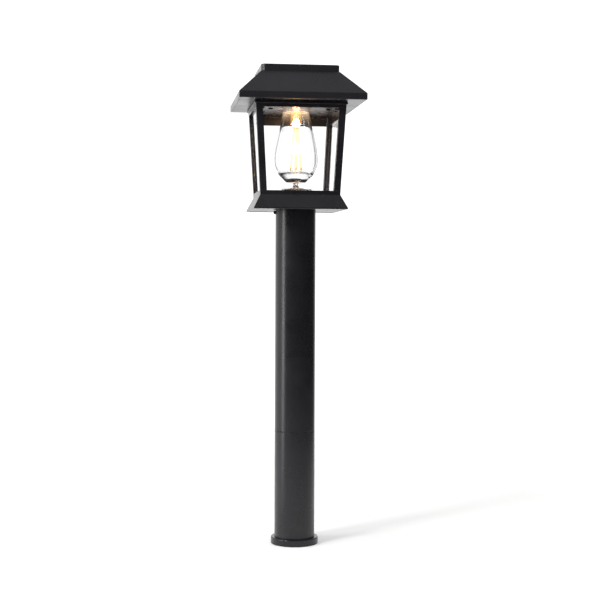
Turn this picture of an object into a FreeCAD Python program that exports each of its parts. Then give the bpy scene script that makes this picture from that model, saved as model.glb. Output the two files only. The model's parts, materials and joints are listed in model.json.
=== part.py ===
import FreeCAD, Part
import math
import os
import re
import Sketcher

# Bollard light: a square lantern on a round two-piece post.
# Millimetres, +Z up, origin at the centre of the ground face.
# The lantern's front faces -Y and +X is to its right.

Vector = FreeCAD.Vector
Rotation = FreeCAD.Rotation
doc = FreeCAD.newDocument("BollardLight")

# ---------------------------------------------------------------- driving sizes

SIZES = {
    # round post
    "post_radius": 30.0,
    "post_wall": 2.0,
    "lower_length": 158.6,
    "upper_length": 328.2,
    "seam_gap": 0.8,
    "seam_depth": 0.7,
    "sleeve_reach": 45.0,
    "sleeve_wall": 3.0,
    "fit_gap": 0.1,
    # ground flange
    "flange_rim": 5.3,
    "flange_height": 10.0,
    "flange_floor": 6.0,
    "flange_rounding": 1.4,
    "spigot_reach": 40.0,
    "spigot_wall": 5.9,
    "fixing_edge": 5.0,
    "fixing_hole_radius": 2.75,
    "cable_hole_radius": 8.0,
    "grommet_bore_radius": 4.0,
    "grommet_lip": 2.5,
    "grommet_lip_height": 2.5,
    "grommet_recess": 1.0,
    # grub screws in the post
    "grub_radius": 2.5,
    "grub_length": 5.4,
    "grub_sink": 0.4,
    "joint_screw_rise": 24.0,
    "thread_gap": 0.05,
    "lock_head_radius": 2.6,
    "lock_head_reach": 2.8,
    "lock_drop": 2.8,
    # wiring in the foot of the post
    "bracket_width": 20.0,
    "bracket_thickness": 1.5,
    "bracket_edge": 16.0,
    "bracket_foot": 8.5,
    "bracket_height": 158.0,
    "block_height_from_floor": 54.0,
    "block_width": 26.0,
    "block_depth": 16.0,
    "block_height": 18.0,
    "terminal_pitch": 8.0,
    "terminal_well_radius": 2.4,
    "terminal_well_depth": 4.0,
    "terminal_screw_radius": 2.2,
    "terminal_screw_height": 2.4,
    "terminal_slot_half": 0.35,
    "link_length": 6.0,
    "link_radius": 0.9,
    "driver_width": 28.0,
    "driver_depth": 20.0,
    "driver_height": 75.0,
    "driver_rounding": 2.0,
    # lead to the lamp
    "lead_radius": 1.2,
    "lead_post_bend": 14.0,
    "lead_corner_bend": 8.0,
    "lead_roof_bend": 16.0,
    "lead_lift": 6.0,
    # skirt and floor of the lantern
    "skirt_flare": 9.9,
    "skirt_lip": 2.0,
    "skirt_height": 21.0,
    "casting_wall": 3.0,
    "deck_thickness": 5.0,
    "cover_recess": 0.6,
    "cover_thickness": 2.5,
    "cover_gap": 0.3,
    "head_spigot_drop": 57.0,
    "boss_radius": 4.0,
    "boss_edge": 10.8,
    # glazed frame
    "frame_base_half": 58.2,
    "frame_flare": 0.057,
    "sill_height": 6.0,
    "sill_depth": 3.5,
    "window_height": 119.0,
    "corner_width": 9.8,
    "pane_recess": 3.3,
    "pane_thickness": 2.2,
    "pane_gap": 0.15,
    "groove_depth": 2.0,
    "pane_top_bite": 2.0,
    "seal_thickness": 1.0,
    "channel_inset": 4.8,
    "channel_width": 3.0,
    "rod_radius": 1.3,
    "rod_bite": 4.0,
    "nut_radius": 2.9,
    "nut_height": 2.0,
    "bar_depth": 14.0,
    "bar_thickness": 2.0,
    "bar_leg_thickness": 1.6,
    "bar_screw_place": 35.0,
    # head ring
    "head_rail_height": 5.0,
    "frieze_overhang": 1.7,
    "frieze_height": 3.2,
    "ring_width": 13.825,
    "gasket_thickness": 0.8,
    "gasket_edge": 1.0,
    "gasket_width": 3.5,
    "connector_inset": 6.8,
    "connector_width": 7.0,
    "connector_depth": 6.0,
    "connector_gap": 0.1,
    "plug_rim": 1.5,
    "plug_height": 6.0,
    "pin_place": 1.5,
    "pin_radius": 0.6,
    "pin_depth": 4.4,
    "pin_bore_radius": 0.85,
    "pin_bore_depth": 4.8,
    "lock_screw_place": 30.0,
    "lock_screw_radius": 1.2,
    # roof
    "eave_overhang": 24.2,
    "eave_height": 9.4,
    "roof_rise": 34.1,
    "roof_wall": 2.0,
    "roof_opening_edge": 8.0,
    "liner_thickness": 1.2,
    "liner_gap": 0.5,
    "lamp_hole_gap": 0.3,
    "pillar_radius": 4.0,
    "pillar_edge": 9.0,
    "pillar_screw_radius": 1.9,
    "pillar_screw_hole": 2.1,
    "pillar_tap_radius": 1.95,
    "pillar_screw_head": 3.4,
    "pillar_screw_length": 8.0,
    "roof_run": 34.5,
    "crown_height": 10.0,
    "crown_corner": 7.0,
    "crown_wall": 2.5,
    "crown_boss_edge": 11.5,
    "crown_boss_radius": 3.2,
    "crown_screw_radius": 1.45,
    "crown_screw_hole": 1.6,
    "crown_tap_radius": 1.5,
    "crown_tap_depth": 6.0,
    "crown_screw_head": 2.8,
    "crown_screw_length": 7.5,
    "crown_seal_depth": 1.5,
    "crown_seal_width": 3.0,
    "crown_rib_width": 2.6,
    "crown_rib_gap": 0.2,
    "edge_rounding": 0.8,
    "small_rounding": 0.5,
    # lamp and its holder
    "holder_wall": 2.3,
    "holder_slack": 0.5,
    "holder_height": 28.0,
    "holder_flange_width": 6.0,
    "holder_screw_edge": 2.8,
    "holder_flange_height": 2.5,
    "holder_nose_wall": 1.3,
    "holder_screw_radius": 1.4,
    "holder_screw_hole": 1.45,
    "holder_screw_bite": 0.9,
    "contact_place": 4.5,
    "contact_radius": 1.5,
    "contact_bore_radius": 1.6,
    "bayonet_gap": 0.4,
    "lamp_cap_radius": 13.2,
    "lamp_cap_height": 19.5,
    "lamp_cap_gap": 0.4,
    "bayonet_pin_radius": 1.1,
    "bayonet_pin_reach": 2.0,
    "bayonet_height": 13.0,
    "stem_radius": 8.5,
    "stem_wall": 1.2,
    "stem_length": 18.0,
    "filament_radius": 0.9,
    "filament_clearance": 3.4,
    "filament_top_circle": 3.0,
    "filament_bottom_circle": 9.0,
    "filament_count": 6,
    "support_radius": 0.35,
    # lamp glass
    "glass_rim_radius": 18.8,
    "glass_belly_radius": 32.4,
    "glass_belly_height": 50.5,
    "glass_shoulder_radius": 25.6,
    "glass_shoulder_height": 28.5,
    "glass_floor_radius": 14.5,
    "glass_floor_height": 17.5,
    "glass_stem_radius": 3.3,
    "glass_foot_radius": 21.5,
    "glass_foot_edge": 5.0,
    "glass_foot_height": 12.0,
    "glass_wall": 2.6,
    "glass_dome_rise": 3.6,
    "glass_rim_gap": 0.4,
    "pad_thickness": 1.0,
    "clip_width": 7.0,
    "clip_thickness": 0.8,
    "clip_length": 7.8,
    "clip_bite": 1.4,
    "clip_gap": 0.4,
    "clip_wall_place": 1.2,
    "clip_lift": 1.6,
}

sheet = doc.addObject("Spreadsheet::Sheet", "Sizes")
for row, (alias, value) in enumerate(SIZES.items(), start=1):
    sheet.set(f"A{row}", alias)
    sheet.set(f"B{row}", str(value))
    sheet.setAlias(f"B{row}", alias)
doc.recompute()

# ---------------------------------------------------------------- levels, as formulas of the sheet

LOWER_TOP = "(flange_height + lower_length)"
UPPER_BOTTOM = f"({LOWER_TOP} + seam_gap)"
COVER_BOTTOM = f"({UPPER_BOTTOM} + upper_length)"
COVER_TOP = f"({COVER_BOTTOM} + cover_thickness)"
SKIRT_BOTTOM = f"({COVER_BOTTOM} - cover_recess)"
SKIRT_TOP = f"({SKIRT_BOTTOM} + skirt_height)"
SILL_TOP = f"({SKIRT_TOP} + sill_height)"
FLOOR_TOP = f"({SILL_TOP} - sill_depth)"
DECK_BOTTOM = f"({FLOOR_TOP} - deck_thickness)"
WINDOW_TOP = f"({SILL_TOP} + window_height)"
FRIEZE_BOTTOM = f"({WINDOW_TOP} + head_rail_height)"
FRIEZE_TOP = f"({FRIEZE_BOTTOM} + frieze_height)"
EAVE_BOTTOM = f"({FRIEZE_TOP} + gasket_thickness)"
EAVE_TOP = f"({EAVE_BOTTOM} + eave_height)"
ROOF_TOP = f"({EAVE_TOP} + roof_rise)"
CROWN_TOP = f"({ROOF_TOP} + crown_height)"
PAN_TOP = f"({WINDOW_TOP} + liner_thickness)"
SOFFIT_TOP = f"({EAVE_BOTTOM} + liner_thickness)"
ROOF_DECK_BOTTOM = f"({ROOF_TOP} - roof_wall)"
SOCKET_BOTTOM = f"({FRIEZE_TOP} - connector_depth)"

POST_BORE = "(post_radius - post_wall)"
SPIGOT_RADIUS = f"({POST_BORE} - fit_gap)"
SPIGOT_BORE = f"({SPIGOT_RADIUS} - spigot_wall)"
FLANGE_RADIUS = "(post_radius + flange_rim)"
FIXING_RADIUS = f"({SPIGOT_BORE} - fixing_edge)"
BRACKET_OFFSET = f"({POST_BORE} - bracket_edge)"
SKIRT_HALF = "(frame_base_half + skirt_flare)"
BOSS_REACH = "(frame_base_half - boss_edge)"
PANE_TOP = f"({WINDOW_TOP} + pane_top_bite)"
PANE_BOTTOM = f"({FLOOR_TOP} + seal_thickness)"
PAD_TOP = f"({FLOOR_TOP} + pad_thickness)"
GLASS_SHOULDER = f"({PAD_TOP} + glass_shoulder_height)"
GLASS_INNER_FLOOR = f"({GLASS_SHOULDER} + glass_wall * 0.4)"
GLASS_DOME_TOP = f"({GLASS_INNER_FLOOR} + glass_dome_rise)"


def frame_half(level, inset="0"):
    """Half width of the flaring frame at a level, less an inset from its outer face."""
    return f"(frame_base_half + frame_flare * ({level} - {SKIRT_TOP}) - ({inset}))"


def hollow_half(level):
    """Half width of the hollow under the skirt at a level."""
    run = f"({SKIRT_HALF} - frame_base_half)"
    rise = f"({DECK_BOTTOM} - {SKIRT_BOTTOM})"
    return f"({SKIRT_HALF} - casting_wall - {run} * ({level} - {SKIRT_BOTTOM}) / {rise})"


FRIEZE_HALF = f"({frame_half(FRIEZE_BOTTOM)} + frieze_overhang)"
RING_OPENING = f"({frame_half(WINDOW_TOP)} - ring_width)"
GASKET_HALF = f"({FRIEZE_HALF} - gasket_edge)"
CONNECTOR_REACH = frame_half(FRIEZE_TOP, "connector_inset")
ROOF_HALF = f"({FRIEZE_HALF} + eave_overhang)"
CROWN_HALF = f"({ROOF_HALF} - roof_run)"
CROWN_BOSS_REACH = f"({CROWN_HALF} - crown_boss_edge)"
PAN_HALF = f"({RING_OPENING} - liner_gap)"
PILLAR_REACH = f"({PAN_HALF} - pillar_edge)"
ROOF_OPENING = f"({PILLAR_REACH} - roof_opening_edge)"
HOLDER_BORE = "(lamp_cap_radius + lamp_cap_gap)"
HOLDER_GROOVE = "(lamp_cap_radius + bayonet_pin_reach + holder_slack)"
HOLDER_NOSE = f"({HOLDER_BORE} + holder_nose_wall)"
HOLDER_RADIUS = f"({HOLDER_GROOVE} + holder_wall)"
HOLDER_FLANGE = f"({HOLDER_RADIUS} + holder_flange_width)"
HOLDER_SCREW_REACH = f"({HOLDER_RADIUS} + holder_screw_edge)"
LAMP_HOLE = f"({HOLDER_NOSE} + lamp_hole_gap)"

# ---------------------------------------------------------------- helpers

def bind(text):
    """Point every size named in a formula at its cell."""
    return re.sub(r"[a-z][a-z_]+", lambda m: f"Sizes.{m[0]}" if m[0] in SIZES else m[0], str(text))


probe = doc.addObject("App::FeaturePython", "Probe")
probe.addProperty("App::PropertyFloat", "Reading")


def number(text):
    """The value that a formula of the sheet has now."""
    probe.setExpression("Reading", bind(text))
    probe.recompute()
    return probe.Reading


def sized(kind, place, **sizes):
    """A Part primitive with its sizes and its place bound to the sheet."""
    solid = doc.addObject(kind, kind.split("::")[1])
    for prop, text in sizes.items():
        solid.setExpression(prop, bind(text))
    for axis, text in zip("xyz", place):
        solid.setExpression(f"Placement.Base.{axis}", bind(text))
    return solid


def block(x0, x1, y0, y1, z0, z1):
    return sized("Part::Box", (x0, y0, z0), Length=f"({x1}) - ({x0})", Width=f"({y1}) - ({y0})",
                 Height=f"({z1}) - ({z0})")


def square(half, z0, z1):
    return block(f"-({half})", half, f"-({half})", half, z0, z1)


def cylinder(radius, z0, z1, x="0", y="0"):
    return sized("Part::Cylinder", (x, y, z0), Radius=radius, Height=f"({z1}) - ({z0})")


def cone(radius_low, radius_high, z0, z1, x="0", y="0"):
    return sized("Part::Cone", (x, y, z0), Radius1=radius_low, Radius2=radius_high,
                 Height=f"({z1}) - ({z0})")


def hexagon(radius, z0, z1, x="0", y="0"):
    prism = sized("Part::Prism", (x, y, z0), Circumradius=radius, Height=f"({z1}) - ({z0})")
    prism.Polygon = 6
    return prism


def radial(radius, near, far, level, angle):
    """A cylinder that points away from the Z axis, from one radius to another."""
    place = (f"({near}) * cos({angle})", f"({near}) * sin({angle})", level)
    rod = sized("Part::Cylinder", place, Radius=radius, Height=f"({far}) - ({near})")
    rod.Placement.Rotation = Rotation(Vector(0, 0, 1), angle) * Rotation(Vector(0, 1, 0), 90)
    return rod


def turned_block(near, far, width, z0, z1, angle):
    """A block that runs away from the Z axis at an angle."""
    place = (f"({near}) * cos({angle}) + ({width}) / 2 * sin({angle})",
             f"({near}) * sin({angle}) - ({width}) / 2 * cos({angle})", z0)
    solid = sized("Part::Box", place, Length=f"({far}) - ({near})", Width=width,
                  Height=f"({z1}) - ({z0})")
    solid.Placement.Rotation = Rotation(Vector(0, 0, 1), angle)
    return solid


def wedge(low, high, z0, z1):
    """A leaning block between two level rectangles, each (x0, x1, y0, y1)."""
    solid = sized("Part::Wedge", ("0", "0", z0),
                  Xmin=low[0], Xmax=low[1], Zmin=f"-({low[3]})", Zmax=f"-({low[2]})",
                  X2min=high[0], X2max=high[1], Z2min=f"-({high[3]})", Z2max=f"-({high[2]})",
                  Ymin="0", Ymax=f"({z1}) - ({z0})")
    solid.Placement.Rotation = Rotation(Vector(1, 0, 0), 90)
    return solid


def frustum(half_low, half_high, z0, z1):
    sides = [(f"-({half})", half, f"-({half})", half) for half in (half_low, half_high)]
    return wedge(*sides, z0, z1)


def span(sign, level, outer, inner):
    """The stretch between two insets from one face of the frame, low side first."""
    ends = [frame_half(level, outer), frame_half(level, inner)]
    return [ends[1], ends[0]] if sign > 0 else [f"-{ends[0]}", f"-{ends[1]}"]


def corner_bar(sx, sy, x_insets, y_insets, z0, z1):
    """A bar that follows the lean of the frame at one corner."""
    low, high = [(*span(sx, z, *x_insets), *span(sy, z, *y_insets)) for z in (z0, z1)]
    return wedge(low, high, z0, z1)


SIDES = {"front": (0, -1), "rear": (0, 1), "left": (-1, 0), "right": (1, 0)}
CORNERS = {"front_left": (-1, -1), "front_right": (1, -1), "rear_left": (-1, 1), "rear_right": (1, 1)}


def side_slab(side, insets, end_inset, z0, z1):
    """A slab along one side of the frame, between two insets and two corners."""
    rectangles = []
    for z in (z0, z1):
        along = [f"-{frame_half(z, end_inset)}", frame_half(z, end_inset)]
        across = span(sum(SIDES[side]), z, *insets)
        rectangles.append((*along, *across) if SIDES[side][1] else (*across, *along))
    return wedge(*rectangles, z0, z1)


def fuse(*solids):
    joined = doc.addObject("Part::MultiFuse", "Joined")
    joined.Shapes = list(solids)
    joined.Refine = True
    return joined


def cut(base, *tools):
    carved = doc.addObject("Part::Cut", "Carved")
    carved.Base = base
    carved.Tool = tools[0] if len(tools) == 1 else fuse(*tools)
    carved.Refine = True
    return carved


def group(*solids):
    together = doc.addObject("Part::Compound", "Group")
    together.Links = list(solids)
    return together


def rounded(base, radius, test):
    """Round the edges that a test picks, by an amount from the sheet."""
    doc.recompute()
    amount = number(radius)
    picked = [i for i, edge in enumerate(base.Shape.Edges, start=1) if test(edge)]
    fillet = doc.addObject("Part::Fillet", "Rounded")
    fillet.Base = base
    fillet.Edges = [(i, amount, amount) for i in picked]
    return fillet


def level_edges(*levels):
    """Picks the edges that lie flat at one of the given levels."""
    heights = [number(level) for level in levels]

    def test(edge):
        box = edge.BoundBox
        return box.ZLength < 0.01 and any(abs(box.ZMin - z) < 0.01 for z in heights)
    return test


def outermost(test, half):
    """Keeps the picked edges that lie at a given half width or radius."""
    reach = number(half)

    def both(edge):
        box = edge.BoundBox
        far = max(abs(box.XMin), abs(box.XMax), abs(box.YMin), abs(box.YMax))
        return test(edge) and abs(far - reach) < 0.05
    return both


def turned(name, profile):
    """A body turned about Z from a closed profile of (radius, level) corners."""
    body = doc.addObject("PartDesign::Body", name)
    plane = next(f for f in body.Origin.OriginFeatures if f.Role == "XZ_Plane")
    sketch = body.newObject("Sketcher::SketchObject", f"{name}_profile")
    sketch.AttachmentSupport = [(plane, "")]
    sketch.MapMode = "FlatFace"
    corners = [Vector(number(r), number(z), 0) for r, z in profile]
    count = len(corners)
    for i in range(count):
        sketch.addGeometry(Part.LineSegment(corners[i], corners[(i + 1) % count]), False)
    for i in range(count):
        sketch.addConstraint(Sketcher.Constraint("Coincident", i, 2, (i + 1) % count, 1))
    for i, (r, z) in enumerate(profile):
        for kind, text, value in (("DistanceX", r, corners[i].x), ("DistanceY", z, corners[i].y)):
            if abs(value) < 1e-9:
                axis = -2 if kind == "DistanceX" else -1
                sketch.addConstraint(Sketcher.Constraint("PointOnObject", i, 1, axis))
                continue
            index = sketch.addConstraint(Sketcher.Constraint(kind, -1, 1, i, 1, value))
            sketch.setExpression(f"Constraints[{index}]", bind(text))
    turn = body.newObject("PartDesign::Revolution", f"{name}_turn")
    turn.Profile = sketch
    turn.ReferenceAxis = (sketch, ["V_Axis"])
    turn.Angle = 360
    sketch.Visibility = False
    body.Tip = turn
    return body


def tube(name, radius, wall, z0, z1):
    bore = f"({radius} - {wall})"
    return turned(name, [(bore, z0), (radius, z0), (radius, z1), (bore, z1)])


def shaped(name, shape):
    """A piece whose curved shape is worked out from the sheet in code."""
    piece = doc.addObject("Part::Feature", name)
    piece.Shape = shape
    piece.Placement = FreeCAD.Placement()
    return piece


def rod_between(start, end, radius):
    return Part.makeCylinder(radius, (end - start).Length, start, end - start)


def pipe_along(points, bends, radius):
    """A round lead: straight runs joined by tangent arcs of the given radii."""
    edges = []
    reached = points[0]
    for corner, following, bend in zip(points[1:-1], points[2:], bends):
        arriving = (corner - reached).normalize()
        leaving = (following - corner).normalize()
        half_turn = arriving.getAngle(leaving) / 2
        back = bend * math.tan(half_turn)
        start, end = corner - arriving * back, corner + leaving * back
        inward = (leaving - arriving).normalize()
        middle = corner + inward * bend * (1 / math.cos(half_turn) - 1)
        edges.append(Part.LineSegment(reached, start).toShape())
        edges.append(Part.Arc(start, middle, end).toShape())
        reached = end
    edges.append(Part.LineSegment(reached, points[-1]).toShape())
    path = Part.Wire(edges)
    ring = Part.Wire(Part.makeCircle(radius, points[0], points[1] - points[0]))
    pipe = path.makePipeShell([ring], True, True)
    expected = math.pi * radius ** 2 * path.Length
    if abs(pipe.Volume / expected - 1) > 0.01:
        raise ValueError(f"the lead's volume is {pipe.Volume}, not {expected}")
    print("lead bends", [round(bend, 1) for bend in bends], "length", round(path.Length, 1))
    return pipe


nodes = []


def node(name, solid):
    """Give a finished sub-part its own label."""
    solid.Label = name
    nodes.append(solid)
    return solid


def pan_screw(head_radius, head_height, shank_radius, reach, x, y, seat, up):
    """A pan-head screw: its seat is where the head meets the work, and up is +1 for a head above."""
    if up > 0:
        head = cylinder(head_radius, seat, f"({seat}) + {head_height}", x, y)
        shank = cylinder(shank_radius, f"({seat}) - ({reach})", seat, x, y)
        slot = hexagon(f"({shank_radius}) * 0.7", f"({seat}) + {head_height} * 0.45",
                       f"({seat}) + {head_height} + 1", x, y)
    else:
        head = cylinder(head_radius, f"({seat}) - {head_height}", seat, x, y)
        shank = cylinder(shank_radius, seat, f"({seat}) + ({reach})", x, y)
        slot = hexagon(f"({shank_radius}) * 0.7", f"({seat}) - {head_height} - 1",
                       f"({seat}) - {head_height} * 0.45", x, y)
    return cut(fuse(head, shank), slot)


# ---------------------------------------------------------------- foot and post

REAR_ANGLES = (60, 120)
GRUB_OUT = "(post_radius - grub_sink)"
GRUB_IN = f"({GRUB_OUT} - grub_length)"
SPIGOT_TOP = "(flange_height + spigot_reach)"
SPIGOT_SCREW_LEVEL = "(flange_height + spigot_reach / 2)"
SEAM_MIDDLE = f"({LOWER_TOP} + seam_gap / 2)"
JOINT_LEVELS = (f"({SEAM_MIDDLE} - joint_screw_rise)", f"({SEAM_MIDDLE} + joint_screw_rise)")


def grub_screw(level, angle):
    """A set screw through the post wall, with a hexagon socket."""
    body = radial("grub_radius", GRUB_IN, GRUB_OUT, level, angle)
    socket = sized("Part::Prism", (f"({GRUB_OUT} - 2) * cos({angle})", f"({GRUB_OUT} - 2) * sin({angle})",
                                   level), Circumradius="grub_radius * 0.55", Height="2.5")
    socket.Polygon = 6
    socket.Placement.Rotation = body.Placement.Rotation
    return cut(body, socket)


def grub_hole(level, angle, depth_end):
    return radial("grub_radius + thread_gap", depth_end, "post_radius + 1", level, angle)


def tapped_end(level, angle):
    return grub_hole(level, angle, f"{GRUB_IN} - 0.3")


def ground_flange():
    rim = turned("ground_flange_body", [
        ("cable_hole_radius", "0"), (FLANGE_RADIUS, "0"), (FLANGE_RADIUS, "flange_height"),
        (SPIGOT_RADIUS, "flange_height"), (SPIGOT_RADIUS, SPIGOT_TOP), (SPIGOT_BORE, SPIGOT_TOP),
        (SPIGOT_BORE, "flange_floor"), ("cable_hole_radius", "flange_floor")])
    soft = rounded(rim, "flange_rounding", outermost(level_edges("flange_height"), FLANGE_RADIUS))
    holes = [cylinder("fixing_hole_radius", "-1", "flange_floor + 1",
                      f"{FIXING_RADIUS} * cos({angle})", f"{FIXING_RADIUS} * sin({angle})")
             for angle in (90, 210, 330)]
    taps = [tapped_end(SPIGOT_SCREW_LEVEL, angle) for angle in REAR_ANGLES]
    bracket_tap = cylinder("1.6", "flange_floor - 4.2", "flange_floor + 1", "0", f"-{FIXING_RADIUS}")
    return cut(soft, *holes, *taps, bracket_tap)


def cable_grommet():
    top = "(flange_floor + grommet_lip_height)"
    lip = "(cable_hole_radius + grommet_lip)"
    return turned("cable_grommet_body", [
        ("grommet_bore_radius", "grommet_recess"), ("cable_hole_radius", "grommet_recess"),
        ("cable_hole_radius", "flange_floor"), (lip, "flange_floor"), (lip, top),
        ("grommet_bore_radius", top)])


def lower_post():
    wall = tube("lower_post_body", "post_radius", "post_wall", "flange_height", LOWER_TOP)
    holes = [grub_hole(SPIGOT_SCREW_LEVEL, angle, f"{POST_BORE} - 2") for angle in REAR_ANGLES]
    holes += [grub_hole(JOINT_LEVELS[0], angle, f"{POST_BORE} - 2") for angle in REAR_ANGLES]
    return cut(wall, *holes)


def upper_post():
    wall = tube("upper_post_body", "post_radius", "post_wall", UPPER_BOTTOM, COVER_BOTTOM)
    holes = [grub_hole(JOINT_LEVELS[1], angle, f"{POST_BORE} - 2") for angle in REAR_ANGLES]
    lock = grub_hole(LOCK_LEVEL, 180, f"{POST_BORE} - 2")
    return cut(wall, *holes, lock)


def joint_sleeve():
    bore = f"({SPIGOT_RADIUS} - sleeve_wall)"
    low, high = f"({SEAM_MIDDLE} - sleeve_reach)", f"({SEAM_MIDDLE} + sleeve_reach)"
    ridge = "(post_radius - seam_depth)"
    body = turned("joint_sleeve_body", [
        (bore, low), (SPIGOT_RADIUS, low), (SPIGOT_RADIUS, LOWER_TOP), (ridge, LOWER_TOP),
        (ridge, UPPER_BOTTOM), (SPIGOT_RADIUS, UPPER_BOTTOM), (SPIGOT_RADIUS, high), (bore, high)])
    return cut(body, *[grub_hole(level, angle, f"{bore} - 2")
                       for level in JOINT_LEVELS for angle in REAR_ANGLES])


# The lantern's lock screw sits just under the skirt, on the left of the post.
LOCK_LEVEL = f"({SKIRT_BOTTOM} - lock_drop)"


def post_lock_screw():
    neck = radial("grub_radius", GRUB_IN, "post_radius", LOCK_LEVEL, 180)
    head = radial("lock_head_radius", "post_radius + thread_gap", "post_radius + lock_head_reach",
                  LOCK_LEVEL, 180)
    joint = radial("grub_radius * 0.8", "post_radius - 0.5", "post_radius + 1", LOCK_LEVEL, 180)
    tip = number("post_radius + lock_head_reach") - 0.01
    return rounded(fuse(neck, head, joint), "small_rounding", lambda edge: edge.BoundBox.XMax < -tip)


node("ground_flange", ground_flange())
node("flange_screws", group(*[grub_screw(SPIGOT_SCREW_LEVEL, angle) for angle in REAR_ANGLES]))
node("cable_grommet", cable_grommet())
node("lower_post", lower_post())
node("joint_sleeve", joint_sleeve())
node("joint_screws", group(*[grub_screw(level, angle) for level in JOINT_LEVELS
                             for angle in REAR_ANGLES]))
node("upper_post", upper_post())
node("post_lock_screw", post_lock_screw())

# ---------------------------------------------------------------- wiring in the foot of the post

PLATE_FACE = f"(-{BRACKET_OFFSET})"
PLATE_BACK = f"({PLATE_FACE} - bracket_thickness)"
BLOCK_BOTTOM = "(flange_floor + block_height_from_floor)"
BLOCK_TOP = f"({BLOCK_BOTTOM} + block_height)"
DRIVER_BOTTOM = f"({BLOCK_TOP} + link_length)"
DRIVER_TOP = f"({DRIVER_BOTTOM} + driver_height)"


def terminal_bracket():
    half = "bracket_width / 2"
    plate = block(f"-{half}", half, PLATE_BACK, PLATE_FACE, "flange_floor", "flange_floor + bracket_height")
    foot = block("-5", "5", f"{PLATE_BACK} - bracket_foot + bracket_thickness", PLATE_FACE,
                 "flange_floor", "flange_floor + bracket_thickness")
    hole = cylinder("1.7", "flange_floor - 1", "flange_floor + 5", "0", f"-{FIXING_RADIUS}")
    return cut(fuse(plate, foot), hole)


TERMINAL_PLACES = ("-terminal_pitch", "0", "terminal_pitch")
TERMINAL_LEVEL = f"({BLOCK_BOTTOM} + block_height / 2)"


def terminal_block():
    half = "block_width / 2"
    body = block(f"-{half}", half, PLATE_FACE, f"{PLATE_FACE} + block_depth", BLOCK_BOTTOM, BLOCK_TOP)
    front = f"({PLATE_FACE} + block_depth)"
    wells = [sized("Part::Cylinder", (x, f"{front} - terminal_well_depth", TERMINAL_LEVEL),
                   Radius="terminal_well_radius", Height="terminal_well_depth + 1")
             for x in TERMINAL_PLACES]
    for well in wells:
        well.Placement.Rotation = Rotation(Vector(1, 0, 0), -90)
    return cut(body, *wells)


def terminal_screws():
    front = f"({PLATE_FACE} + block_depth)"
    screws = []
    back = f"({front} - terminal_well_depth + fit_gap)"
    for x in TERMINAL_PLACES:
        head = sized("Part::Cylinder", (x, back, TERMINAL_LEVEL),
                     Radius="terminal_screw_radius", Height="terminal_screw_height")
        head.Placement.Rotation = Rotation(Vector(1, 0, 0), -90)
        slot = block(f"{x} - terminal_well_radius", f"{x} + terminal_well_radius",
                     f"{back} + terminal_screw_height * 0.65", front,
                     f"{TERMINAL_LEVEL} - terminal_slot_half", f"{TERMINAL_LEVEL} + terminal_slot_half")
        screws.append(cut(head, slot))
    return group(*screws)


def led_driver():
    half = "driver_width / 2"
    case = block(f"-{half}", half, PLATE_FACE, f"{PLATE_FACE} + driver_depth", DRIVER_BOTTOM, DRIVER_TOP)
    upright = number("driver_height") - 1
    return rounded(case, "driver_rounding", lambda edge: edge.BoundBox.ZLength > upright)


node("terminal_bracket", terminal_bracket())
node("bracket_screw", pan_screw("3", "2", "1.55", "bracket_thickness + 4", "0", f"-{FIXING_RADIUS}",
                                "flange_floor + bracket_thickness", 1))
node("terminal_block", terminal_block())
node("terminal_screws", terminal_screws())
node("led_driver", led_driver())
node("link_wires", group(*[cylinder("link_radius", BLOCK_TOP, DRIVER_BOTTOM, x, f"{PLATE_FACE} + 8")
                           for x in ("-6", "6")]))

# ---------------------------------------------------------------- skirt, floor and underside of the lantern

REAR_LEFT = CORNERS["rear_left"]
CHANNEL_NEAR = "(channel_inset - channel_width / 2)"
CHANNEL_FAR = "(channel_inset + channel_width / 2)"
GROOVE_NEAR = "(pane_recess - pane_gap)"
GROOVE_FAR = "(pane_recess + pane_thickness + pane_gap)"
GROOVE_END = "(corner_width - groove_depth)"
LEAD_LEVEL = f"({COVER_TOP} + lead_lift)"
BOSS_PLACES = [(BOSS_REACH, "0"), (f"-{BOSS_REACH}", "0"), ("0", BOSS_REACH), ("0", f"-{BOSS_REACH}")]


def channel(corner, z0, z1):
    """The square channel up the middle of a corner post."""
    insets = (CHANNEL_NEAR, CHANNEL_FAR)
    return corner_bar(*corner, insets, insets, z0, z1)


def grooves(corner, z0, z1):
    """The two grooves of a corner post that hold the edges of its panes."""
    along = (GROOVE_END, "corner_width + 1")
    across = (GROOVE_NEAR, GROOVE_FAR)
    return [corner_bar(*corner, along, across, z0, z1), corner_bar(*corner, across, along, z0, z1)]


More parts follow.
